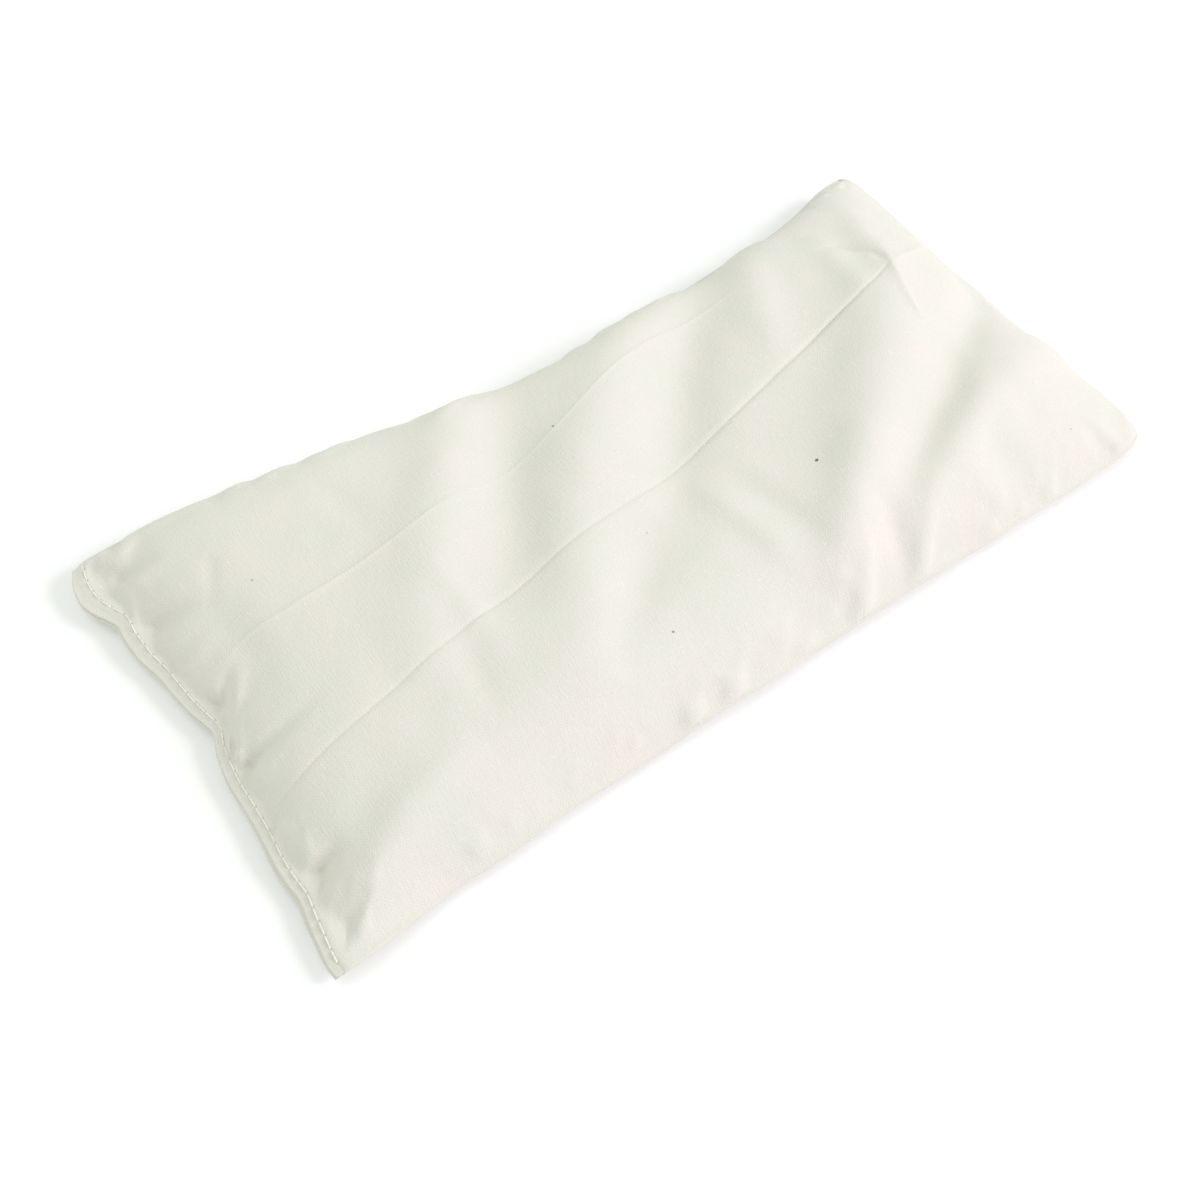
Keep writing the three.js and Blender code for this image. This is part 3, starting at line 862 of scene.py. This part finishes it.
class Nodes:
    """Short names for building a material's node tree."""

    def __init__(self, name):
        self.material = bpy.data.materials.new(name)
        self.material.use_nodes = True
        self.tree = self.material.node_tree
        self.shader = self.tree.nodes["Principled BSDF"]

    def add(self, kind, inputs=None, **settings):
        """A new node with its settings, and its inputs linked to a socket or set to a value."""
        node = self.tree.nodes.new(kind)
        for key, value in settings.items():
            setattr(node, key, value)
        for key, value in (inputs or {}).items():
            self.feed(node.inputs[key], value)
        return node

    def feed(self, socket, value):
        if isinstance(value, bpy.types.NodeSocket):
            self.tree.links.new(value, socket)
        else:
            socket.default_value = value

    def math(self, operation, *values):
        return self.add("ShaderNodeMath", dict(enumerate(values)), operation=operation).outputs[0]

    def mix(self, factor, first, second, blend="MIX"):
        node = self.add("ShaderNodeMix", data_type="RGBA", blend_type=blend)
        for key, value in (("Factor_Float", factor), ("A_Color", first), ("B_Color", second)):
            self.feed(next(i for i in node.inputs if i.identifier == key), value)
        return next(o for o in node.outputs if o.identifier == "Result_Color")

    def ramp(self, value, low, high, to_low=0.0, to_high=1.0):
        """A value's stretch from low to high, spread over to_low to to_high and clamped."""
        inputs = {"Value": value, "From Min": low, "From Max": high}
        inputs |= {"To Min": to_low, "To Max": to_high}
        return self.add("ShaderNodeMapRange", inputs).outputs["Result"]

    def join(self, x, y, z=0.0):
        return self.add("ShaderNodeCombineXYZ", {0: x, 1: y, 2: z}).outputs[0]

    def noise(self, vector, scale, detail=2.0, roughness=0.5):
        inputs = {"Vector": vector, "Scale": scale, "Detail": detail, "Roughness": roughness}
        return self.add("ShaderNodeTexNoise", inputs).outputs["Fac"]

    def cells(self, vector, scale):
        return self.add("ShaderNodeTexVoronoi", {"Vector": vector, "Scale": scale})

    def bump(self, height, distance, strength=1.0, onto=None):
        inputs = {"Height": height, "Distance": distance, "Strength": strength}
        node = self.add("ShaderNodeBump", inputs)
        if onto:
            self.feed(node.inputs["Normal"], onto)
        return node.outputs["Normal"]


def cloth_places(n):
    """The flat cloth's own coordinates, in mm along and across the bag."""
    uv = n.add("ShaderNodeUVMap", uv_map="cloth_mm").outputs[0]
    split = n.add("ShaderNodeSeparateXYZ", {0: uv})
    return uv, split.outputs[0], split.outputs[1]


def yarn_streaks(n, along, across, seed):
    """Thick and thin places along each yarn: long that way, one yarn wide the other way."""
    place = n.join(n.math("DIVIDE", along, SLUB_LENGTH), n.math("DIVIDE", across, YARN_PITCH), seed)
    return n.noise(place, 1.0, 1.0)


def weave(n, u, v):
    """The height of a plain weave, from 0 to 1, whose yarns wander a little."""
    drift = n.noise(n.join(n.math("MULTIPLY", u, 0.25), n.math("MULTIPLY", v, 0.25)), 1.0)
    drift = n.math("MULTIPLY", n.math("SUBTRACT", drift, 0.5), 0.9)
    yarn = math.pi / YARN_PITCH
    warp = n.math("SINE", n.math("MULTIPLY", n.math("ADD", u, drift), yarn))
    weft = n.math("SINE", n.math("MULTIPLY", n.math("SUBTRACT", v, drift), yarn))
    over = n.math("MULTIPLY", warp, weft)
    return n.ramp(over, -1.0, 1.0)


def needle_holes(n, u, v, bag):
    """How near a place is to a hole of the topstitch, and to its line, each from 0 to 1."""
    slant = n.math("MULTIPLY", v, STITCH_SLANT / bag.half_width)
    row = n.math("SUBTRACT", n.math("SUBTRACT", u, slant), STITCH_INSET - bag.half_length)
    row = n.math("ABSOLUTE", row)
    reach = bag.half_width - STITCH_END
    pitch = 2 * reach / round(2 * reach / STITCH_PITCH)
    stitches = n.math("DIVIDE", n.math("ADD", v, reach), pitch)
    away = n.math("MULTIPLY", n.math("PINGPONG", stitches, 0.5), STITCH_PITCH)
    distance = n.math("SQRT", n.math("ADD", n.math("POWER", row, 2.0), n.math("POWER", away, 2.0)))
    return n.ramp(distance, *HOLE_FADE, 1.0, 0.0), n.ramp(row, *CHANNEL_FADE, 1.0, 0.0)


def specks(n, uv):
    """Bits of seed husk caught in the cotton: a few at known places, and fine ones all over."""
    pitch, core, fade, darkness = FINE_SPECKS
    total = n.ramp(n.cells(uv, 1 / pitch).outputs["Distance"], core, fade, darkness, 0.0)
    for x, y, size, dark in SPECKS:
        gap = n.add("ShaderNodeVectorMath", {0: uv, 1: (x, y, 0)}, operation="DISTANCE")
        spot = n.ramp(gap.outputs["Value"], size * 0.6, size * 1.2, dark, 0.0)
        total = n.math("MAXIMUM", total, spot)
    return total


def calico(bag):
    """Unbleached cotton: a fine plain weave with slubs, husk specks, a faint uneven tint, and
    painted shade in the weave's gaps and needle holes.
    """
    n = Nodes("calico")
    uv, u, v = cloth_places(n)
    height = weave(n, u, v)
    slubs_along = yarn_streaks(n, u, v, 3.0)
    slubs_across = yarn_streaks(n, v, u, 8.0)
    streaks = n.math("ADD", slubs_along, slubs_across)
    thick = n.ramp(n.math("MAXIMUM", slubs_along, slubs_across), 0.68, 0.8)
    hole, channel = needle_holes(n, u, v, bag)

    tint = n.mix(n.ramp(n.noise(uv, 0.06, 4.0, 0.65), 0.38, 0.62), CALICO_COOL, CALICO_WARM)
    tint = n.mix(n.ramp(streaks, 0.75, 1.25), tint, CALICO_PALE, "MULTIPLY")
    # painted shade: the weave's low places between yarns are darkened
    tint = n.mix(n.ramp(height, 0.0, 0.35, 0.12, 0.0), tint, CALICO_GAP_SHADE, "MULTIPLY")
    tint = n.mix(n.math("MULTIPLY", thick, 0.3), tint, SLUB_PALE)
    tint = n.mix(specks(n, uv), tint, HUSK)
    # painted shade: darker in the needle holes
    tint = n.mix(n.math("MULTIPLY", hole, 0.15), tint, PAINTED_HOLE_SHADE)
    n.feed(n.shader.inputs["Base Color"], tint)
    n.feed(n.shader.inputs["Roughness"], n.ramp(height, 0.0, 1.0, 0.95, 0.8))
    n.shader.inputs["Sheen Weight"].default_value = 0.18
    n.shader.inputs["Sheen Roughness"].default_value = 0.55
    n.shader.inputs["Specular IOR Level"].default_value = 0.25

    normal = n.bump(n.noise(uv, 0.9, 4.0, 0.6), 0.12 * MM, 0.6)
    normal = n.bump(height, 0.05 * MM, 0.5, normal)
    normal = n.bump(streaks, 0.1 * MM, 0.7, normal)
    sunk = n.math("ADD", n.math("MULTIPLY", hole, 0.7), n.math("MULTIPLY", channel, 0.3))
    normal = n.bump(n.math("SUBTRACT", 1.0, sunk), 0.2 * MM, 1.0, normal)
    n.feed(n.shader.inputs["Normal"], normal)
    return n.material


def sewing_thread():
    """Spun cotton: pale, with fine fibres and a slightly uneven dye."""
    n = Nodes("sewing_thread")
    place = n.add("ShaderNodeTexCoord").outputs["Object"]
    fibres = n.noise(place, 9000.0, 3.0, 0.7)
    shade = n.noise(place, 260.0, 2.0)
    tint = n.mix(n.ramp(shade, 0.3, 0.7), THREAD_SHADE, THREAD_PALE)
    tint = n.mix(n.ramp(fibres, 0.3, 0.6, 0.25, 0.0), tint, THREAD_SHADE)
    n.feed(n.shader.inputs["Base Color"], tint)
    n.feed(n.shader.inputs["Roughness"], n.ramp(fibres, 0.3, 0.7, 0.6, 0.85))
    n.shader.inputs["Sheen Weight"].default_value = 0.3
    n.feed(n.shader.inputs["Normal"], n.bump(fibres, 0.03 * MM, 0.6))
    return n.material


def flaxseed():
    """Small glossy seeds, each its own brown, with painted shade between them and fine pits in the
    coat.
    """
    n = Nodes("flaxseed")
    place = n.add("ShaderNodeTexCoord").outputs["Object"]
    cells = n.cells(place, 1 / (SEED_WIDTH * 1.3 * MM))
    split = n.add("ShaderNodeSeparateColor", {0: cells.outputs["Color"]})
    tint = n.mix(split.outputs[0], SEED_DARK, SEED_TAN)
    # painted shade: darker towards each seed's edge, between the seeds
    tint = n.mix(n.ramp(cells.outputs["Distance"], 0.35, 0.75), tint, SEED_GAP_SHADE)
    n.feed(n.shader.inputs["Base Color"], tint)
    pits = n.noise(place, 4200.0, 3.0, 0.6)
    n.feed(n.shader.inputs["Roughness"], n.ramp(pits, 0.3, 0.7, 0.28, 0.45))
    n.shader.inputs["Coat Weight"].default_value = 0.25
    n.feed(n.shader.inputs["Normal"], n.bump(pits, 0.03 * MM, 0.5))
    return n.material


# ---------------------------------------------------------------- stage


def area_light(name, location, size, watts, colour):
    """A soft round light that faces the bag."""
    light = bpy.data.lights.new(name, "AREA")
    light.shape = "DISK"
    light.size = size
    light.energy = watts
    light.color = colour
    obj = bpy.data.objects.new(name, light)
    obj.location = location
    aim = Vector((0, 0, 10 * MM)) - Vector(location)
    obj.rotation_euler = aim.to_track_quat("-Z", "Y").to_euler()
    bpy.context.scene.collection.objects.link(obj)


def make_floor():
    mesh = bpy.data.meshes.new("floor")
    signs = (-1, -1), (1, -1), (1, 1), (-1, 1)
    corners = [(i * FLOOR_REACH, j * FLOOR_REACH, 0) for i, j in signs]
    mesh.from_pydata(corners, [], [(0, 1, 2, 3)])
    floor = bpy.data.objects.new("floor", mesh)
    bpy.context.scene.collection.objects.link(floor)
    n = Nodes("floor_paint")
    n.shader.inputs["Base Color"].default_value = (0.8, 0.8, 0.8, 1)
    n.shader.inputs["Roughness"].default_value = 0.9
    n.shader.inputs["Emission Color"].default_value = (1, 1, 1, 1)
    n.shader.inputs["Emission Strength"].default_value = FLOOR_GLOW
    mesh.materials.append(n.material)


def make_camera():
    azimuth, elevation, roll = map(math.radians, (AZIMUTH, ELEVATION, ROLL))
    level = math.cos(elevation)
    back = Vector((math.sin(azimuth) * level, -math.cos(azimuth) * level, math.sin(elevation)))
    data = bpy.data.cameras.new("camera")
    data.sensor_width = SENSOR
    data.lens = LENS
    data.clip_start = 10 * MM
    camera = bpy.data.objects.new("camera", data)
    turn = (-back).to_track_quat("-Z", "Y").to_matrix() @ Matrix.Rotation(roll, 3, "Z")
    place = (Vector(CAMERA_TARGET) + back * CAMERA_DISTANCE) * MM
    camera.matrix_world = Matrix.Translation(place) @ turn.to_4x4()
    bpy.context.scene.collection.objects.link(camera)
    bpy.context.scene.camera = camera


def make_lights():
    world = bpy.data.worlds.new("studio")
    world.use_nodes = True
    background = world.node_tree.nodes["Background"]
    background.inputs["Color"].default_value = WORLD_COLOUR
    background.inputs["Strength"].default_value = WORLD_STRENGTH
    bpy.context.scene.world = world
    for light in LIGHTS:
        area_light(*light)
    bpy.context.scene.view_settings.view_transform = "Standard"


def stands_for(piece, node):
    """Hangs a piece, built in its CAD node's place, under the bag's root body, and hides that node.
    """
    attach(piece, "root")
    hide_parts(node)


def main():
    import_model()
    bag = Bag()
    make_camera()
    make_floor()
    make_lights()
    calico_cloth, cotton, seed = calico(bag), sewing_thread(), flaxseed()
    a, b = cloth_grid(bag)
    fill = seed_body(bag, seed)
    stands_for(fill, "flaxseed_fill")
    upper = panel("upper_panel_cloth", bag, a, b, 1, calico_cloth)
    stands_for(upper, "upper_panel")
    lower = panel("lower_panel_cloth", bag, a, b, -1, calico_cloth)
    stands_for(lower, "lower_panel")
    for name, side in (("needle_thread", 1), ("bobbin_thread", -1)):
        topstitch = thread(f"closing_{name}_plies", closing_path(bag, side), THREAD, 6, cotton)
        stands_for(topstitch, f"closing_seam_{name}")
        hidden = thread(f"side_{name}_plies", side_path(bag, side), SIDE_THREAD, 5, cotton)
        stands_for(hidden, f"side_seam_{name}")


main()
